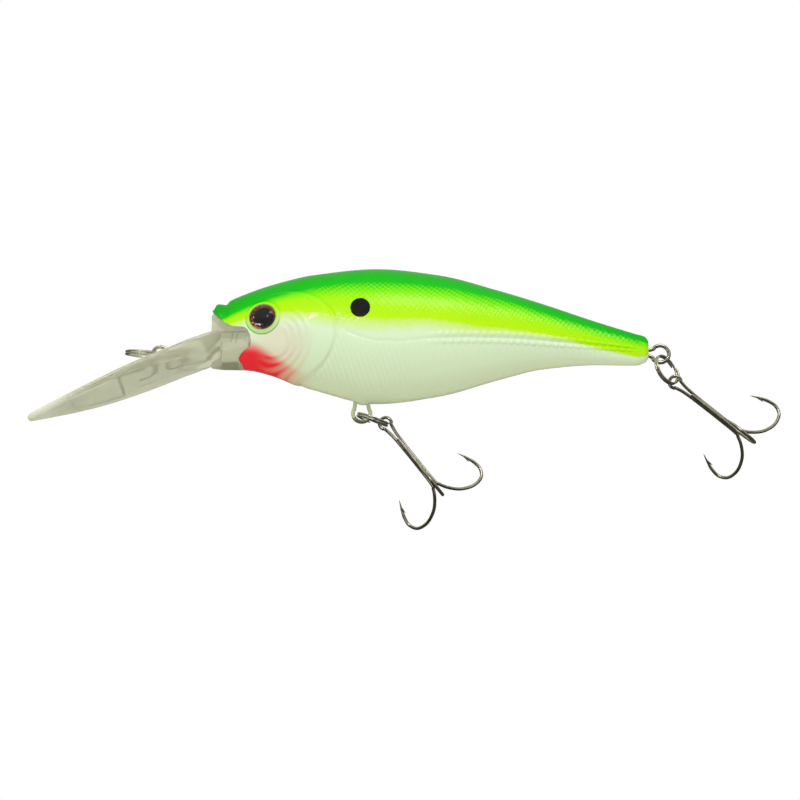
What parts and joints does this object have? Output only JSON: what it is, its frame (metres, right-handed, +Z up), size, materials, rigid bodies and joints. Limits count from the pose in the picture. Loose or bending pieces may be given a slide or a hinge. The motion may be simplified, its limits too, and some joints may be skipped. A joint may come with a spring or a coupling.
{
  "type": "crankbait lure",
  "caption": "Deep-diving shad-shaped crankbait lure with a clear bill, split rings, treble hooks hung at belly and tail, ballast and rattle balls.",
  "frame": {"origin": "centre of the line tie's wire loop, on the lure's centre plane", "axes": "+X from nose to tail, +Z up towards the back as the lure swims, +Y to the lure's right side"},
  "size_m": [0.1211, 0.0162, 0.0421],
  "materials": {
    "painted_body": "gloss, green back over chartreuse and pearl white",
    "clear_plastic": "clear polycarbonate",
    "nickel_wire": "nickel plated wire",
    "hook_steel": "black nickel",
    "iris_foil": "metallic red foil with a black pupil",
    "eye_dome": "clear",
    "ballast_metal": "dull cast",
    "ball_steel": "polished"
  },
  "bodies": {
    "lure_body": {"body_shell_left": "painted_body", "body_shell_right": "painted_body", "diving_lip": "clear_plastic", "line_tie_wire": "nickel_wire", "belly_hanger_wire": "nickel_wire", "tail_hanger_wire": "nickel_wire", "eye_foil_left": "iris_foil", "eye_foil_right": "iris_foil", "eye_dome_left": "eye_dome", "eye_dome_right": "eye_dome", "ballast_weight": "ballast_metal"},
    "line_ring": {"line_tie_split_ring": "nickel_wire"},
    "belly_ring": {"belly_split_ring": "nickel_wire"},
    "belly_treble": {"belly_treble_double_hook": "hook_steel", "belly_treble_single_hook": "hook_steel"},
    "tail_ring": {"tail_split_ring": "nickel_wire"},
    "tail_treble": {"tail_treble_double_hook": "hook_steel", "tail_treble_single_hook": "hook_steel"},
    "front_ball": {"rattle_ball_front": "ball_steel"},
    "middle_ball": {"rattle_ball_middle": "ball_steel"},
    "rear_ball": {"rattle_ball_rear": "ball_steel"}
  },
  "joints": [
    {"name": "line_ring_swing", "type": "hinge", "parent": "lure_body", "child": "line_ring", "pos_m": [0, 0, 0], "axis": [0, 1, 0], "range_deg": [-30, 130]},
    {"name": "belly_ring_swing", "type": "hinge", "parent": "lure_body", "child": "belly_ring", "pos_m": [0.0325, 0, -0.0099], "axis": [0, 1, 0], "range_deg": [-5, 95]},
    {"name": "belly_treble_swing", "type": "hinge", "parent": "belly_ring", "child": "belly_treble", "pos_m": [0.0364, 0.00116, -0.01154], "axis": [-0.3845, 0.8713, 0.3048], "range_deg": [-35, 35]},
    {"name": "tail_ring_swing", "type": "hinge", "parent": "lure_body", "child": "tail_ring", "pos_m": [0.0806, 0, 0], "axis": [0, 1, 0], "range_deg": [-60, 60]},
    {"name": "tail_treble_swing", "type": "hinge", "parent": "tail_ring", "child": "tail_treble", "pos_m": [0.083, 0.00071, -0.00458], "axis": [0.4299, 0.705, 0.564], "range_deg": [-40, 60]},
    {"name": "front_ball_roll", "type": "slide", "parent": "lure_body", "child": "front_ball", "axis": [0, 1, 0], "range_m": [-0.0029, 0.0029]},
    {"name": "middle_ball_roll", "type": "slide", "parent": "lure_body", "child": "middle_ball", "axis": [0, 1, 0], "range_m": [-0.0025, 0.0025]},
    {"name": "rear_ball_roll", "type": "slide", "parent": "lure_body", "child": "rear_ball", "axis": [0, 1, 0], "range_m": [-0.0017, 0.0017]}
  ]
}
